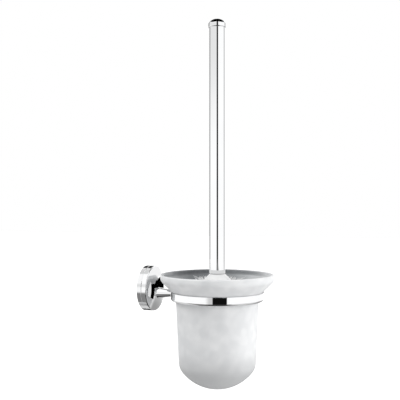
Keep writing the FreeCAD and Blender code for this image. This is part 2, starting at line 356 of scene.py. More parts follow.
@dataclass(frozen=True)
class ClearedGlass(Finish):
    """Inside of the cup: a dark gloss seen square on, a pale satin sheen seen along it; the gloss's dark
    tones are painted shade in the cup's hollow.

    Each goes from its first tone to its second between two places along Y in millimetres: painted light,
    for the light that the glass lets through on the side away from the wall.
    """

    # painted shade: the gloss's dark tones stand for shade in the cup's hollow
    painted_shade_gloss: tuple[float, float] = (0.12, 0.34)
    sheen: tuple[float, float] = (0.38, 0.95)
    painted_through_light: tuple[float, float] = (-38.0, -98.0)

    def mix(self, recipe: Recipe) -> None:
        """Two surfaces with broad clouds and smears, mixed by how far they turn away.

        Args:
            recipe: the empty tree to fill.
        """
        spot = recipe.place()
        clouds = recipe.noise(spot, 16.0, 2.0).rise(0.35, 0.68)
        smears = recipe.noise(spot, 5.0, 3.0).rise(0.45, 0.75)
        outward = recipe.value("ShaderNodeSeparateXYZ", {}, {0: spot}, "Y")
        # painted light: the inside turns lighter away from the wall, for light let through the glass
        painted_through_light = outward.rise(self.painted_through_light[0] * MM, self.painted_through_light[1] * MM) * 0.85 + clouds * 0.15
        glossy = recipe.node("ShaderNodeBsdfPrincipled", {}, {
            "Base Color": recipe.blend(painted_through_light, grey(self.painted_shade_gloss[0], -0.06), grey(self.painted_shade_gloss[1], -0.04)),
            "Roughness": smears * 0.06 + 0.18,
        })
        satin = recipe.node("ShaderNodeBsdfPrincipled", {}, {
            "Base Color": recipe.blend(painted_through_light, grey(self.sheen[0], -0.03), grey(self.sheen[1], -0.01)),
            "Roughness": smears * 0.1 + 0.4,
        })
        facing = recipe.value("ShaderNodeLayerWeight", {}, {"Blend": 0.5}, "Facing")
        surfaces = {0: facing.rise(0.14, 0.78), 1: glossy.outputs[0], 2: satin.outputs[0]}
        mixed = recipe.node("ShaderNodeMixShader", {}, surfaces)
        recipe.node("ShaderNodeOutputMaterial", {}, {"Surface": mixed.outputs[0]})


@dataclass(frozen=True)
class Plastic(Finish):
    """Moulded plastic or rubber with a fine skin."""

    tone: float = 0.80
    warmth: float = 0.0
    gloss: float = 0.34
    skin: float = 0.02

    def mix(self, recipe: Recipe) -> None:
        """Slight flow marks in the colour and a pebbled skin.

        Args:
            recipe: the empty tree to fill.
        """
        spot = recipe.place()
        flow = recipe.noise(spot, 11.0, 3.0)
        pebble = recipe.noise(spot, 0.7, 2.0)
        darker, lighter = grey(self.tone * 0.95, self.warmth), grey(self.tone, self.warmth)
        recipe.surface({
            "Base Color": recipe.blend(flow, darker, lighter),
            "Roughness": pebble * 0.10 + (self.gloss - 0.05),
            "Normal": recipe.bump(pebble, self.skin),
        })


@dataclass(frozen=True)
class Nylon(Finish):
    """White bristle filament, a little different from strand to strand."""

    tone: float = 0.91
    shade: float = 0.74

    def mix(self, recipe: Recipe) -> None:
        """Strand-sized changes of tone and gloss.

        Args:
            recipe: the empty tree to fill.
        """
        spot = recipe.place()
        strands = recipe.noise(spot, 1.6, 2.0)
        clumps = recipe.noise(spot, 7.0, 1.0)
        uneven = strands * 0.6 + clumps * 0.4
        recipe.surface({
            "Base Color": recipe.blend(uneven, grey(self.shade), grey(self.tone)),
            "Roughness": strands * 0.2 + 0.3,
        })


CHROME_PLATE = Metal("chrome_wall_plate", "chrome_plate", tone=0.84, mark_size=9.0)
CHROME_SHELL = Metal("chrome_rosette", "chrome_shell", polish=0.025, marks=0.03, mark_size=18.0)
CHROME_ARM = Metal("chrome_arm", "chrome_arm", marks=0.03, mark_size=8.0)
CHROME_RING = Metal("chrome_ring", "chrome_ring", polish=0.012, marks=0.015, mark_size=20.0)
CHROME_TUBE = Metal(
    "chrome_tube", "chrome_tube", polish=0.015, marks=0.015, mark_size=12.0, grain=(1.0, 1.0, 0.25)
)
CHROME_CAP = Metal("chrome_cap", "chrome_cap", polish=0.02, marks=0.03, mark_size=6.0)
DARK_STEEL = Metal(
    "blackened_steel", "steel_dark",
    tone=0.10, warmth=0.02, polish=0.3, marks=0.15, mark_size=2.0, specks=0.05,
)
PLAIN_STEEL = Metal(
    "zinc_steel", "steel_plain",
    tone=0.55, warmth=0.01, polish=0.25, marks=0.15, mark_size=3.0, specks=0.05,
)
BRASS = Metal(
    "brass", "brass_insert",
    polish=0.22, marks=0.15, mark_size=3.0, specks=0.05, tint=(0.70, 0.50, 0.22),
)
FROSTED = FrostedGlass("satin_glass", "frosted_glass")
CLEARED = ClearedGlass("glass_inside", "frosted_glass")
LINER = Plastic("moulded_liner", "liner_plastic", tone=0.62, gloss=0.4)
BUSH = Plastic("moulded_grey", "grey_plastic", tone=0.22, gloss=0.45)
RUBBER = Plastic("pale_rubber", "seal_rubber", tone=0.55, gloss=0.55, skin=0.03)
CORE = Plastic("moulded_white", "white_plastic", tone=0.94, gloss=0.3)
BRISTLE = Nylon("white_nylon", "white_bristle")


# ---------------------------------------------------------------- turning


class Axis(Enum):
    """The axes that pieces are turned about."""

    CUP = "cup"
    ROSETTE = "rosette"
    ARM = "arm"

    def placing(self) -> Matrix:
        """Find the piece's place.

        Returns:
            Matrix to it from the lathe, where the axis is Z at the origin.
        """
        if self is Axis.CUP:
            return Matrix.Translation((0, -REACH * MM, 0))
        height = ARM_HEIGHT * MM if self is Axis.ARM else 0.0
        return Matrix.Translation((0, 0, height)) @ Matrix.Rotation(math.pi / 2, 4, "X")


class Outline:
    """Half a section, drawn as a wire in millimetres and turned on the lathe."""

    def __init__(self, radius: float, height: float) -> None:
        """Start the wire.

        Args:
            radius: distance of its first point from the axis.
            height: height of that point.
        """
        self.mesh = bmesh.new()
        self.first = self.tip = self.mesh.verts.new((radius * MM, 0, height * MM))
        self.corners: list[tuple[bmesh.types.BMVert, float]] = []

    def line(self, radius: float, height: float, ease: float = 0.0) -> "Outline":
        """Draw a straight line.

        Args:
            radius: where it ends.
            height: where it ends.
            ease: distance along both lines over which the corner at its end is rounded.

        Returns:
            This outline.
        """
        self.tip = bmesh.ops.extrude_vert_indiv(self.mesh, verts=[self.tip])["verts"][0]
        self.tip.co = (radius * MM, 0, height * MM)
        if ease:
            self.corners.append((self.tip, ease * MM))
        return self

    def arc(self, radius: float, height: float, degrees: float, steps: int) -> "Outline":
        """Draw an arc by swinging the tip.

        Args:
            radius: the arc's centre.
            height: the arc's centre.
            degrees: how far it swings, anticlockwise if positive.
            steps: how many edges it gets.

        Returns:
            This outline.
        """
        swung = bmesh.ops.spin(
            self.mesh, geom=[self.tip], cent=(radius * MM, 0, height * MM), axis=(0, -1, 0),
            angle=math.radians(degrees), steps=steps,
        )
        self.tip = [part for part in swung["geom_last"] if isinstance(part, bmesh.types.BMVert)][0]
        return self

    def close(self) -> "Outline":
        """Join the tip to the start."""
        self.mesh.edges.new((self.tip, self.first))
        return self

    def turned(self, steps: int = 192) -> Shape:
        """Round the corners and turn the wire about the axis.

        Args:
            steps: how many faces go round.

        Returns:
            A closed mesh on the lathe, facing outward.
        """
        mesh = self.mesh
        for corner, ease in self.corners:
            bmesh.ops.bevel(
                mesh, geom=[corner], offset=ease, offset_type="OFFSET", affect="VERTICES",
                segments=6, profile=0.5, material=-1,
            )
        bmesh.ops.spin(
            mesh, geom=mesh.verts[:] + mesh.edges[:], cent=(0, 0, 0), axis=(0, 0, 1),
            angle=math.tau, steps=steps, use_merge=True,
        )
        bmesh.ops.remove_doubles(mesh, verts=mesh.verts[:], dist=2e-6)
        bmesh.ops.recalc_face_normals(mesh, faces=mesh.faces[:])
        return mesh


def dome(radius: float, rise: float) -> tuple[float, float]:
    """Radius of the ball that a dome of this radius and rise is cut from, and half its angle."""
    ball = (radius**2 + rise**2) / (2 * rise)
    return ball, math.degrees(math.asin(radius / ball))


def new_object(name: str, mesh: Shape) -> bpy.types.Object:
    """Put a mesh in the scene.

    Args:
        name: the object's name.
        mesh: its shape, already in place; it is freed.

    Returns:
        The object.
    """
    data = bpy.data.meshes.new(name)
    mesh.to_mesh(data)
    mesh.free()
    made = bpy.data.objects.new(name, data)
    bpy.context.scene.collection.objects.link(made)
    return made


def wear(name: str, finishes: tuple[Finish, ...]) -> None:
    """Dress a new piece, or a CAD node that stays in view.

    Args:
        name: the piece or the node.
        finishes: one for each material number in its mesh; a CAD node takes the first one in each of its
            slots.
    """
    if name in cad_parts:
        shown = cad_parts[name]
        for holder in shown.material_slots:
            holder.material = finishes[0].material()
    else:
        shown = bpy.data.objects[name]
        for finish in finishes:
            shown.data.materials.append(finish.material())


# ---------------------------------------------------------------- sub-assemblies


class SubAssembly:
    """Pieces that ride on one body and are built, then dressed.

    The table worn gives each new piece, and each CAD node that stays in view, its finishes.
    """

    body: ClassVar[str]
    worn: ClassVar[dict[str, tuple[Finish, ...]]]

    def build(self) -> None:
        """Make the meshes; each sub-assembly has its own way."""
        raise NotImplementedError

    def dress(self) -> None:
        """Give every piece its finishes."""
        for name, finishes in self.worn.items():
            wear(name, finishes)

    def add(
        self, name: str, mesh: Shape, stands_for: str, crease: float = 32.0
    ) -> bpy.types.Object:
        """Make a mesh a piece of this sub-assembly.

        Args:
            name: the piece's name.
            mesh: its shape, already in place; it is freed.
            stands_for: the CAD node that it replaces.
            crease: edges sharper than this many degrees stay sharp.

        Returns:
            The piece.
        """
        for face in mesh.faces:
            face.smooth = True
        for edge in mesh.edges:
            if len(edge.link_faces) == 2:
                edge.smooth = edge.calc_face_angle(0.0) < math.radians(crease)
        piece = new_object(name, mesh)
        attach(piece, self.body)
        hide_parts(stands_for)
        return piece

    def turn(
        self, name: str, outline: Outline, axis: Axis, stands_for: str,
        zone: Callable[[Vector, Vector], int] | None = None,
    ) -> None:
        """Turn an outline into a piece.

        Args:
            name: the piece's name.
            outline: its half section.
            axis: the axis that it belongs to.
            stands_for: the CAD node that it replaces.
            zone: gives a face's material number from its centre and normal on the lathe.
        """
        mesh = outline.turned()
        if zone:
            for face in mesh.faces:
                face.material_index = zone(face.calc_center_median(), face.normal)
        bmesh.ops.transform(mesh, matrix=axis.placing(), verts=mesh.verts[:])
        piece = self.add(name, mesh, stands_for)
        flats = piece.modifiers.new("true_flats", "WEIGHTED_NORMAL")
        flats.keep_sharp = True


@dataclass
class Rosette(SubAssembly):
    """Wall plate, domed shell and the small locking screw."""

    body = "bracket"
    worn = {"plate": (CHROME_PLATE,), "shell": (CHROME_SHELL,), "grub_screw": (DARK_STEEL,)}
    radius: float = extent("rosette_shell").radius
    plate: float = extent("rosette_shell").near
    side: float = 5.5
    rise: float = 4.0
    wall: float = 3.0
    ceiling: float = 9.7
    chamfer: float = 0.35
    edge_round: float = 1.2

    @property
    def crown(self) -> float:
        """Distance of the dome's highest point from the wall."""
        return self.plate + self.side + self.rise

    def build(self) -> None:
        """Plate as in the CAD with its seams merged, shell turned afresh for an unbroken mirror."""
        plate = bmesh.new()
        plate.from_mesh(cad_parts["wall_plate"].data)
        bmesh.ops.remove_doubles(plate, verts=plate.verts[:], dist=1e-6)
        for face in plate.faces:
            face.material_index = 0
        self.add("plate", plate, "wall_plate", crease=24.0)

        ball, sweep = dome(self.radius, self.rise)
        shell = (
            Outline(self.radius - self.wall, self.plate)
            .line(self.radius - self.chamfer, self.plate)
            .line(self.radius, self.plate + self.chamfer)
            .line(self.radius, self.plate + self.side, self.edge_round)
            .arc(0, self.crown - ball, sweep, 36)
            .line(0, self.ceiling)
            .line(self.radius - self.wall, self.ceiling)
            .close()
        )
        self.turn("shell", shell, Axis.ROSETTE, "rosette_shell")


@dataclass
class Arm(SubAssembly):
    """Tapered arm with the screw and washer that hold it."""

    body = "bracket"
    worn = {"arm_taper": (CHROME_ARM,), "arm_screw": (PLAIN_STEEL,), "arm_washer": (PLAIN_STEEL,)}
    root: float = extent("arm").near
    root_radius: float = extent("arm").radius
    tip: float = extent("ring").near
    tip_radius: float = 2.9
    tip_round: float = 0.8
    inside_ring: float = 1.6

    def build(self) -> None:
        """One turned taper that ends inside the ring's wall."""
        end = self.tip + self.inside_ring
        taper = (
            Outline(0, self.root)
            .line(self.root_radius, self.root)
            .line(self.tip_radius, self.tip, self.tip_round)
            .line(self.tip_radius, end)
            .line(0, end)
        )
        self.turn("arm_taper", taper, Axis.ARM, "arm")


@dataclass
class Ring(SubAssembly):
    """Ring that carries the cup, and its liner; its foot hangs a little below the CAD's."""

    body = "bracket"
    worn = {"ring_band": (CHROME_RING,), "ring_liner": (LINER,)}
    bore: float = extent("ring_liner").radius
    radius: float = extent("ring").radius
    foot: float = extent("ring").foot - 0.7
    top: float = extent("ring").top
    land: float = 0.6
    foot_round: float = 2.4
    top_round: float = 0.2

    def build(self) -> None:
        """Turned band with a sloped seat inside and a rounded lower edge."""
        seat = self.radius - self.land
        band = (
            Outline(self.bore, self.foot)
            .line(self.radius, self.foot, self.foot_round)
            .line(self.radius, self.top, self.top_round)
            .line(seat, self.top)
            .line(self.bore, self.top - (seat - self.bore))
            .close()
        )
        self.turn("ring_band", band, Axis.CUP, "ring")


@dataclass
class Cup(SubAssembly):
    """Frosted glass cup: domed bottom, tapering wall, flared rim with a rounded lip.

    Its outside runs up from the dome over a corner curve to the wall, and over a hollow neck
    curve to the 45 degree flare, which the rim's curve turns upright.
    """

    body = "cup"
    worn = {"cup_glass": (FROSTED, CLEARED)}
    glass: Extent = extent("glass_cup")
    thickness: float = 3.2
    dome_radius: float = 45.0
    corner_radius: float = 14.0
    foot_radius: float = 38.3
    foot_height: float = -75.0
    taper: float = 3.05
    side: float = 66.5
    neck_radius: float = 5.0
    flare: float = 46.005
    rim_radius: float = 6.0

    @property
    def lean(self) -> float:
        """Lean of the wall, as a slope."""
        return self.taper / self.side

    def neck(self) -> tuple[float, float]:
        """Find the hollow curve between the wall and the flare.

        Returns:
            Radius and height of its centre, which lies outside the glass.
        """
        across = self.foot_radius - self.lean * self.foot_height
        from_wall = across + self.neck_radius * math.hypot(1, self.lean)
        from_flare = self.flare + self.neck_radius * math.sqrt(2)
        height = (from_wall - from_flare) / (1 - self.lean)
        return from_flare + height, height

    def corner(self) -> tuple[float, float]:
        """Find the curve that joins the wall to the domed bottom.

        Returns:
            Radius and height of its centre, as far from the dome's centre as the curves' radii differ.
        """
        dome_height = self.glass.foot + self.dome_radius
        across = self.foot_radius - self.corner_radius * math.hypot(1, self.lean)
        level = across + self.lean * (dome_height - self.foot_height)
        steep = 1 + self.lean**2
        reach = (self.dome_radius - self.corner_radius) ** 2 - level**2
        drop = (-self.lean * level - math.sqrt((self.lean * level) ** 2 + steep * reach)) / steep
        return level + self.lean * drop, dome_height + drop

    def on_curve(self, centre: tuple[float, float], radius: float, degrees: float) -> tuple[float, float]:
        """Point of a circle in the section."""
        turn = math.radians(degrees)
        return centre[0] + radius * math.cos(turn), centre[1] + radius * math.sin(turn)

    def outline(self) -> Outline:
        """Draw the section up the outside, over the lip and down the inside.

        Returns:
            The outline.
        """
        wall, outer, lip = self.thickness, self.glass.radius, self.glass.top - self.thickness / 2
        dome_height = self.glass.foot + self.dome_radius
        neck, corner = self.neck(), self.corner()
        rim = (outer - self.rim_radius, outer - self.rim_radius * (1 - math.sqrt(2)) - self.flare)
        slope = math.degrees(math.atan(self.lean))
        joint = math.degrees(math.atan2(corner[1] - dome_height, corner[0]))
        return (
            Outline(0, self.glass.foot)
            .arc(0, dome_height, 90 + joint, 24)
            .arc(*corner, -joint - slope, 16)
            .line(*self.on_curve(neck, self.neck_radius, 180 - slope))
            .arc(*neck, slope - 45, 12)
            .line(*self.on_curve(rim, self.rim_radius, -45))
            .arc(*rim, 45, 12)
            .line(outer, lip)
            .arc(outer - wall / 2, lip, 180, 14)
            .line(outer - wall, rim[1])
            .arc(*rim, -45, 8)
            .line(*self.on_curve(neck, self.neck_radius + wall, 135))
            .arc(*neck, 45 - slope, 14)
            .line(*self.on_curve(corner, self.corner_radius - wall, -slope))
            .arc(*corner, joint + slope, 14)
            .arc(0, dome_height, -90 - joint, 20)
        )

    def side_of_glass(self, centre: Vector, normal: Vector) -> int:
        """0 for the satin outside and lip, 1 for the smooth inside."""
        outward = normal.xy.dot(centre.xy.normalized())
        return 0 if outward > normal.z - 0.5 else 1

    def build(self) -> None:
        """Turn the section."""
        self.turn("cup_glass", self.outline(), Axis.CUP, "glass_cup", self.side_of_glass)


@dataclass
class Handle(SubAssembly):
    """Tube, end cap and the fittings inside them; the cap is a little fuller than the CAD's."""

    body = "brush"
    worn = {
        "tube": (CHROME_TUBE,), "cap": (CHROME_CAP,), "cap_bush": (BUSH,), "tube_insert": (BRASS,),
        "head_stud": (PLAIN_STEEL,),
    }
    tube: Extent = extent("handle_tube")
    cap: Extent = extent("handle_cap")
    wall: float = 1.0
    foot_round: float = 0.25
    cap_rise: float = 4.9
    cap_skirt: float = 1.1
    cap_round: float = 0.9

    def build(self) -> None:
        """Turn the tube and the domed cap."""
        tube, cap = self.tube, self.cap
        inner = tube.radius - self.wall
        pipe = (
            Outline(inner, tube.foot)
            .line(tube.radius, tube.foot, self.foot_round)
            .line(tube.radius, tube.top)
            .line(inner, tube.top)
            .close()
        )
        self.turn("tube", pipe, Axis.CUP, "handle_tube")
        ball, sweep = dome(cap.radius, self.cap_rise)
        skirt = tube.top - self.cap_skirt
        button = (
            Outline(0, skirt)
            .line(cap.radius, skirt, self.cap_round)
            .line(cap.radius, cap.top - self.cap_rise, self.cap_round)
            .arc(0, cap.top - ball, sweep, 28)
        )
        self.turn("cap", button, Axis.CUP, "handle_cap")


@dataclass
class Bristles:
    """A maker of filaments: each is a thin three-sided taper, copied round the axis."""

    thickness: float = 0.30
    thinning: float = 0.6
    seed: int = 7
    luck: random.Random = field(init=False)

    def __post_init__(self) -> None:
        """Fix the chance that bends the filaments."""
        self.luck = random.Random(self.seed)

    def around(
        self, mesh: Shape, root: tuple[float, float], tip: tuple[float, float],
        copies: int, start: float, swing: float,
    ) -> None:
        """Set one filament and copy it round.

        Args:
            mesh: the mesh that receives it.
            root: radius and height of its root.
            tip: radius and height of its tip.
            copies: how many stand round the axis.
            start: direction of the root in degrees.
            swing: how far round the tip stands from the root, in degrees.
        """
        low = Matrix.Rotation(math.radians(start), 3, "Z") @ Vector((root[0], 0, root[1])) * MM
        high = Matrix.Rotation(math.radians(start + swing), 3, "Z") @ Vector((tip[0], 0, tip[1])) * MM
        along = high - low
        stand = Matrix.Translation((low + high) / 2) @ along.to_track_quat("Z", "Y").to_matrix().to_4x4()
        made = bmesh.ops.create_cone(
            mesh, cap_ends=True, cap_tris=True, segments=3, radius1=self.thickness * MM,
            radius2=self.thickness * self.thinning * MM, depth=along.length, matrix=stand,
        )
        faces = {face for vert in made["verts"] for face in vert.link_faces}
        edges = {edge for vert in made["verts"] for edge in vert.link_edges}
        bmesh.ops.spin(
            mesh, geom=made["verts"] + list(edges) + list(faces), cent=(0, 0, 0), axis=(0, 0, 1),
            angle=math.tau * (copies - 1) / copies, steps=copies - 1, use_duplicate=True,
        )

    def spread(self, reach: float) -> float:
        """A chance offset up to the reach, either way."""
        return self.luck.uniform(-reach, reach)

    def bearing(self) -> float:
        """A chance direction in degrees."""
        return self.luck.uniform(0, 360)


@dataclass
class BrushHead(SubAssembly):
    """Core with its shield, seal, rows of bristles, collar and end tuft."""

    body = "brush"
    rows = sum(node.startswith("bristle_row_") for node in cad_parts)
    worn = {
        "core": (CORE,), "seal": (RUBBER,),
        **{f"bristles_{number}": (BRISTLE,) for number in range(1, rows + 1)},
        "bristle_collar_tufts": (BRISTLE,), "bristle_end": (BRISTLE,),
    }
    core: Extent = extent("brush_core")
    seal: Extent = extent("head_seal")
    tuft: Extent = extent("end_tuft")
    neck_radius: float = extent("handle_tube").radius
    seal_bore: float = extent("head_stud").radius
    stem_radius: float = 9.5
    shield_edge: float = 2.2
    shield_taper: float = 8.0
    root_sink: float = 0.6
    tufts: int = 30
    strands: int = 22

    @property
    def shield_top(self) -> float:
        """Height of the shield's edge, below a 45 degree cone."""
        return self.core.top - (self.core.radius - self.neck_radius)

    @property
    def shield_foot(self) -> float:
        """Height of the shield's underside."""
        return self.shield_top - self.shield_edge

    def build(self) -> None:
        """Core, seal, then every group of bristles."""
        self.build_core()
        for number in range(1, self.rows + 1):
            self.build_row(number)
        self.build_collar()
        self.build_tuft()

    def build_core(self) -> None:
        """Turned core with a rounded lower end, and the flat seal on top of it."""
        core, seal = self.core, self.seal
        body = (
            Outline(0, core.foot)
            .arc(0, core.foot + self.stem_radius, 90, 12)
            .line(self.stem_radius, self.shield_foot - self.shield_taper, 1.0)
            .line(core.radius, self.shield_foot)
            .line(core.radius, self.shield_top, 0.5)
            .line(self.neck_radius, core.top)
            .line(0, core.top)
        )
        self.turn("core", body, Axis.CUP, "brush_core")
        washer = Outline(self.seal_bore, seal.foot).line(seal.radius, seal.foot)
        washer.line(seal.radius, seal.top).line(self.seal_bore, seal.top).close()
        self.turn("seal", washer, Axis.CUP, "head_seal")

    def build_row(self, number: int) -> None:
        """One row of tufts, each tuft fanning out from its hole in the core.

        Args:
            number: the row's number, counted from the top.
        """
        row = extent(f"bristle_row_{number}")
        maker = Bristles(seed=number)
        mesh = bmesh.new()
        turn = maker.spread(6.0)
        for _ in range(self.strands):
            lift = maker.spread(1.0)
            maker.around(
                mesh,
                (self.stem_radius - self.root_sink, row.middle + lift * 1.3),
                (row.radius - abs(maker.spread(0.9)), row.middle + lift * 2.6 + maker.spread(1.0)),
                self.tufts, turn + maker.spread(2.6), maker.spread(4.2),
            )
        self.plant(f"bristles_{number}", mesh, f"bristle_row_{number}")

    def build_collar(self) -> None:
        """Short bristles that lean up and out round the shield, with a few stray ones."""
        maker = Bristles(seed=41, thickness=0.32)
        mesh = bmesh.new()
        root_radius, root_height = self.core.radius - 1.2, self.shield_foot + 0.4
        for _ in range(16):
            long = maker.luck.random() ** 2
            maker.around(
                mesh,
                (root_radius, root_height + maker.spread(0.8)),
                (17.4 + 2.1 * long, 11.6 + 2.4 * long + maker.spread(0.8)),
                23, maker.bearing(), maker.spread(5.0),
            )
        maker.thickness = 0.2
        for _ in range(9):
            stray = maker.luck.random()
            maker.around(
                mesh,
                (root_radius, root_height),
                (20.0 + 9.0 * stray, 12.0 + 2.6 * stray + maker.spread(0.8)),
                5, maker.bearing(), maker.spread(9.0),
            )
        self.plant("bristle_collar_tufts", mesh, "bristle_collar")

    def build_tuft(self) -> None:
        """Domed tuft that closes the lower end, in rings from the middle outward."""
        maker = Bristles(seed=90)
        mesh = bmesh.new()
        hub = self.core.foot + 4.0
        drop = hub - self.tuft.foot
        last = 25
        for step in range(last + 1):
            tilt = math.radians(4 + 84 * step / last)
            out, down = math.sin(tilt), math.cos(tilt)
            reach = 1 / math.hypot(out / self.tuft.radius, down / drop)
            for _ in range(2):
                part = maker.luck.uniform(0.95, 1.0)
                lift = maker.luck.uniform(-0.5, 1.5)
                maker.around(
                    mesh,
                    (1.2 + 6.5 * out, hub + 2.0 + lift),
                    (reach * part * out, hub - reach * part * down),
                    max(5, round(44 * out)), maker.bearing(), maker.spread(5.0),
                )
        self.plant("bristle_end", mesh, "end_tuft")

    def plant(self, name: str, mesh: Shape, stands_for: str) -> None:
        """Move bristles onto the cup's axis and make them a piece."""
        bmesh.ops.transform(mesh, matrix=Axis.CUP.placing(), verts=mesh.verts[:])
        self.add(name, mesh, stands_for)


# ---------------------------------------------------------------- studio


@dataclass(frozen=True)
class Viewpoint:
    """Level camera that has the cup's axis a little right of the middle, in millimetres."""

    azimuth: float = -68.0
    distance: float = 750.0
    eye_height: float = 91.1
    sideways: float = 17.3
    focal: float = 67.5
    sensor: float = 36.0

    def back(self) -> Vector:
        """Level direction from the object to the camera."""
        turn = math.radians(self.azimuth)
        return Vector((math.sin(turn), -math.cos(turn), 0))

    def right(self) -> Vector:
        """Level direction to the camera's right."""
        turn = math.radians(self.azimuth)
        return Vector((math.cos(turn), math.sin(turn), 0))

    def build(self) -> None:
        """Set up the camera."""
        camera = bpy.data.cameras.new("camera")
        camera.sensor_width, camera.lens = self.sensor, self.focal
        camera.clip_start, camera.clip_end = 0.01, 100.0
        holder = bpy.data.objects.new("camera", camera)
        bpy.context.scene.collection.objects.link(holder)
        axis = Vector((0, -REACH, self.eye_height))
        holder.location = (axis + self.back() * self.distance - self.right() * self.sideways) * MM
        holder.rotation_mode = "QUATERNION"
        holder.rotation_quaternion = (-self.back()).to_track_quat("-Z", "Y")
        bpy.context.scene.camera = holder
        bpy.context.scene.view_settings.view_transform = "Standard"


@dataclass(frozen=True)
class Stretch:
    """A darker stretch of the surroundings that polished metal mirrors.

    Angles are in degrees: bearing is counted from the camera's and height from the horizon.
    Both give two edges and how softly they fade; onset gives the heights between which it sets in.
    """

    depth: float
    bearing: tuple[float, float, float] | None = None
    height: tuple[float, float, float] | None = None
    onset: tuple[float, float] | None = None

    def left_over(self, bearing: Value, height: Value) -> Value:
        """Find what it leaves of the light.

        Args:
            bearing: the bearing of a direction.
            height: the height of that direction.

        Returns:
            1 outside the stretch, less inside it.
        """
        dark: Number = self.depth
        if self.bearing:
            dark = bearing.band(*self.bearing) * dark
        if self.height:
            dark = height.band(*self.height) * dark
        if self.onset:
            dark = height.rise(*self.onset) * dark
        return 1.0 - dark


class Mirrored(Enum):
    """The stretches of this studio, named for where they show."""

    STRIP_DOWN_THE_HANDLE = Stretch(0.98, bearing=(-11, 10.5, 1.2), height=(-6, 85, 2))
    BLOCK_ON_THE_RING = Stretch(0.995, bearing=(-13, 22, 1.2), height=(-26, -5.4, 0.6))
    FADE_BESIDE_THE_BLOCK = Stretch(0.4, bearing=(-26, -8, 7), height=(-26, -6, 0.8))
    UNDER_THE_RING = Stretch(0.95, bearing=(-34, 37, 4), onset=(-22, -30))
    UNDER_THE_RING_LEFT = Stretch(0.66, bearing=(-84, -34, 4), onset=(-14, -24))
    STRAIGHT_BELOW = Stretch(0.9, onset=(-60, -68))
    HANDLE_RIGHT_EDGE = Stretch(0.65, bearing=(106, 127, 3), height=(-6, 50, 1.5))
    HANDLE_LEFT_EDGE = Stretch(0.75, bearing=(-156, -122, 6), height=(-6, 50, 1.5))
    HIGH_ON_THE_LEFT = Stretch(0.22, bearing=(-125, -10, 5), height=(8, 22, 5))
    LOW_ON_THE_ROSETTE = Stretch(0.5, bearing=(120, 176, 5), onset=(-8, -15))
    STRIP_FAR_SIDE = Stretch(0.95, bearing=(-178, -164, 1.5), height=(-45, 85, 2))


@dataclass(frozen=True)
class Softbox:
    """A square lamp that faces the cup and is felt by matt surfaces only, in metres and watts.

    Its lean says where it hangs: to the right, toward the camera and up.
    """

    name: str
    lean: tuple[float, float, float]
    power: float
    width: float = 1.2
    distance: float = 1.6
    aim: float = -0.02

    def hang(self, viewpoint: Viewpoint) -> None:
        """Hang the lamp.

        Args:
            viewpoint: the camera that its lean is counted from.
        """
        lamp = bpy.data.lights.new(self.name, "AREA")
        lamp.shape, lamp.size, lamp.energy = "SQUARE", self.width, self.power
        holder = bpy.data.objects.new(self.name, lamp)
        bpy.context.scene.collection.objects.link(holder)
        across, toward_camera, up = self.lean
        toward = viewpoint.right() * across + viewpoint.back() * toward_camera + Vector((0, 0, up))
        toward.normalize()
        holder.location = Vector((0, -REACH * MM, self.aim)) + toward * self.distance
        holder.rotation_euler = toward.to_track_quat("Z", "Y").to_euler()
        holder.visible_glossy = False
        holder.visible_camera = False


@dataclass(frozen=True)
class Card:
    """A card that reflections alone see, moving with a body: black to paint a dark reflection unless it has
    a level, when it glows to paint a pale one.
    """

    name: str
    level: float = 0.0
    one_sided: bool = False
    goes_with: str = "bracket"

    def stand(self, middle: Vector, turn: Matrix, wide: float, tall: float) -> None:
        """Stand it up flat.

        Args:
            middle: its centre in millimetres.
            turn: its rotation from lying flat.
            wide: half its width in millimetres.
            tall: half its height in millimetres.
        """
        mesh = bmesh.new()
        bmesh.ops.create_grid(mesh, x_segments=1, y_segments=1, size=1.0)
        size = Matrix.Diagonal((wide * MM, tall * MM, 1, 1))
        bmesh.ops.transform(mesh, matrix=Matrix.Translation(middle * MM) @ turn @ size, verts=mesh.verts[:])
        self.paint(mesh)

    def bend(self, radius: float, height: float, tall: float) -> None:
        """Bend it to a hoop about the cup's axis that faces inward.

        Args:
            radius: the hoop's radius in millimetres.
            height: the height of its middle in millimetres.
            tall: its own height in millimetres.
        """
        mesh = bmesh.new()
        bmesh.ops.create_cone(
            mesh, cap_ends=False, segments=64, radius1=radius * MM, radius2=radius * MM,
            depth=tall * MM, matrix=Matrix.Translation((0, -REACH * MM, height * MM)),
        )
        bmesh.ops.reverse_faces(mesh, faces=mesh.faces[:])
        self.paint(mesh)

    def paint(self, mesh: Shape) -> None:
        """Paint the card and hide it from all but reflections.

        Args:
            mesh: its shape, already in place; it is freed.
        """
        card = new_object(self.name, mesh)
        material = bpy.data.materials.new(self.name)
        material.use_nodes = True
        recipe = Recipe(material.node_tree)
        paint = recipe.node("ShaderNodeEmission", {}, {"Color": grey(self.level), "Strength": 1.0})
        if self.one_sided:
            back = recipe.value("ShaderNodeNewGeometry", {}, {}, "Backfacing")
            clear = recipe.node("ShaderNodeBsdfTransparent", {}, {})
            sides = {0: back, 1: paint.outputs[0], 2: clear.outputs[0]}
            paint = recipe.node("ShaderNodeMixShader", {}, sides)
        recipe.node("ShaderNodeOutputMaterial", {}, {"Surface": paint.outputs[0]})
        card.data.materials.append(material)
        card.visible_camera = card.visible_diffuse = False
        card.visible_shadow = card.visible_transmission = False
        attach(card, self.goes_with)


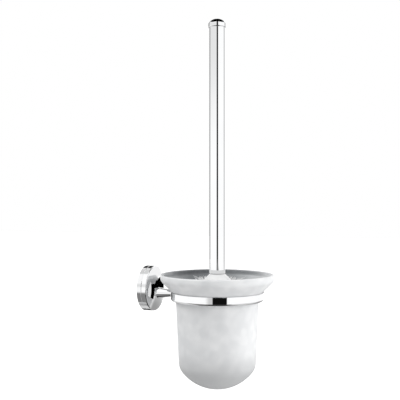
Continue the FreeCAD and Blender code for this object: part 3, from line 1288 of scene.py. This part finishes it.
@dataclass(frozen=True)
class Studio:
    """Pale floor far below, soft surroundings, softboxes, cards and the camera."""

    viewpoint: Viewpoint = Viewpoint()
    floor_height: float = -1.5
    floor_reach: float = 30.0
    softboxes: tuple[Softbox, ...] = (
        Softbox("softbox_right", (1.0, 0.12, 0.2), 7.0),
        Softbox("softbox_left", (-0.6, 0.0, 0.8), 12.5),
    )

    def build(self) -> None:
        """Everything round the object."""
        self.build_floor()
        self.build_surroundings()
        for softbox in self.softboxes:
            softbox.hang(self.viewpoint)
        self.build_rosette_cards()
        self.build_brush_cards()
        self.viewpoint.build()

    def build_floor(self) -> None:
        """Large plain pale floor, kept out of the chrome."""
        mesh = bmesh.new()
        bmesh.ops.create_grid(mesh, x_segments=1, y_segments=1, size=self.floor_reach)
        bmesh.ops.translate(mesh, vec=(0, 0, self.floor_height), verts=mesh.verts[:])
        floor = new_object("floor", mesh)
        material = bpy.data.materials.new("pale_floor")
        material.use_nodes = True
        recipe = Recipe(material.node_tree)
        speckle = recipe.noise(recipe.place(), 900.0, 2.0)
        recipe.surface({
            "Base Color": recipe.blend(speckle, grey(0.93), grey(0.96)),
            "Roughness": 0.9,
            "Emission Color": grey(1.0),
            "Emission Strength": 0.6,
        })
        floor.data.materials.append(material)
        floor.visible_glossy = False
        floor.visible_diffuse = False

    def build_surroundings(self) -> None:
        """Soft light from all round, with the dark and bright stretches that chrome mirrors."""
        world = bpy.data.worlds.new("studio")
        bpy.context.scene.world = world
        world.use_nodes = True
        recipe = Recipe(world.node_tree)
        way = recipe.node("ShaderNodeTexCoord", {}, {}).outputs["Generated"]

        def lean_to(direction: Vector) -> Value:
            """How far the looking direction leans toward another."""
            inputs = {0: way, 1: tuple(direction)}
            return recipe.value("ShaderNodeVectorMath", {"operation": "DOT_PRODUCT"}, inputs, "Value")

        front, side = lean_to(self.viewpoint.back()), lean_to(self.viewpoint.right())
        up = lean_to(Vector((0, 0, 1)))
        mirrored = self.mirrored(recipe, front, side, up)
        ambient = 0.68 + side * side * 0.16 + side * 0.28 + front * 0.08 - up * 0.05
        path = recipe.node("ShaderNodeLightPath", {}, {}).outputs
        level = ambient + (mirrored - ambient) * Value(recipe, path["Is Glossy Ray"])
        level = level + (1.0 - level) * Value(recipe, path["Is Camera Ray"])
        colour = recipe.node("ShaderNodeCombineColor", {}, {0: level, 1: level, 2: level}).outputs[0]
        light = recipe.node("ShaderNodeBackground", {}, {"Color": colour, "Strength": 1.0})
        recipe.node("ShaderNodeOutputWorld", {}, {"Surface": light.outputs[0]})

    def mirrored(self, recipe: Recipe, front: Value, side: Value, up: Value) -> Value:
        """Work out the brightness that polished metal sees.

        Args:
            recipe: the surroundings' tree.
            front: how far a direction leans toward the camera's side.
            side: how far it leans to the camera's right.
            up: how far it leans upward.

        Returns:
            The brightness in that direction.
        """
        bearing = recipe.math("ARCTAN2", side, front) * math.degrees(1)
        height = recipe.math("ARCSINE", up) * math.degrees(1)
        level = 1.14 - height.rise(-10, -22) * 0.42
        for stretch in Mirrored:
            level = level * stretch.value.left_over(bearing, height)
        return level * (1.0 - front.rise(0.02, -0.10) * height.rise(40, 60) * 0.35)

    def build_rosette_cards(self) -> None:
        """Cards before the rosette's dome, and two upright ones along the arm's left side, that paint dark
        and pale reflections in the chrome.
        """
        upright = Matrix.Rotation(math.pi / 2, 4, "X")
        crown = Rosette().crown
        for card, bearing, reach, wide, tall, lift in (
            (Card("card_far"), 62.0, 100.0, 56.0, 20.0, -7.0),
            (Card("card_near"), 50.0, 15.0, 12.0, 10.5, -1.5),
            (Card("card_pale", 1.02), 50.0, 15.0, 14.0, 7.5, 21.0),
        ):
            turn = math.radians(bearing)
            middle = Vector((math.sin(turn) * reach, -crown - math.cos(turn) * reach, lift))
            card.stand(middle, Matrix.Rotation(turn, 4, "Z") @ upright, wide, tall)
        beside = Matrix.Rotation(-math.pi / 2, 4, "Z") @ upright
        clear_of_arm = -6.2
        Card("card_arm", one_sided=True).stand(Vector((clear_of_arm, -20.0, -3.2)), beside, 3.6, 8.8)
        pale = Card("card_arm_pale", 0.82, one_sided=True)
        pale.stand(Vector((clear_of_arm, -28.4, -1.0)), beside, 4.7, 11.0)

    def build_brush_cards(self) -> None:
        """A black card over the cap and a pale hoop round the tube's foot, both moving with it: they paint
        a dark reflection in the cap and a pale one at the tube's foot.
        """
        over = Vector((0, -REACH, extent("handle_cap").top + 60.0)) - self.viewpoint.back() * 50.0
        tilt = Matrix.Rotation(math.atan2(60.0, 160.0), 4, self.viewpoint.right())
        flat = tilt @ Matrix.Rotation(math.radians(self.viewpoint.azimuth), 4, "Z")
        Card("card_over", goes_with="brush").stand(over, flat, 55.0, 86.0)
        Card("card_hoop", 0.78, one_sided=True, goes_with="brush").bend(50.0, 14.5, 6.0)


def main() -> None:
    """Build and dress each sub-assembly, then the studio."""
    logging.basicConfig(level=logging.INFO, format="%(message)s")
    for part in (Rosette(), Arm(), Ring(), Cup(), Handle(), BrushHead()):
        part.build()
        part.dress()
    Studio().build()


if __name__ == "__main__":
    main()
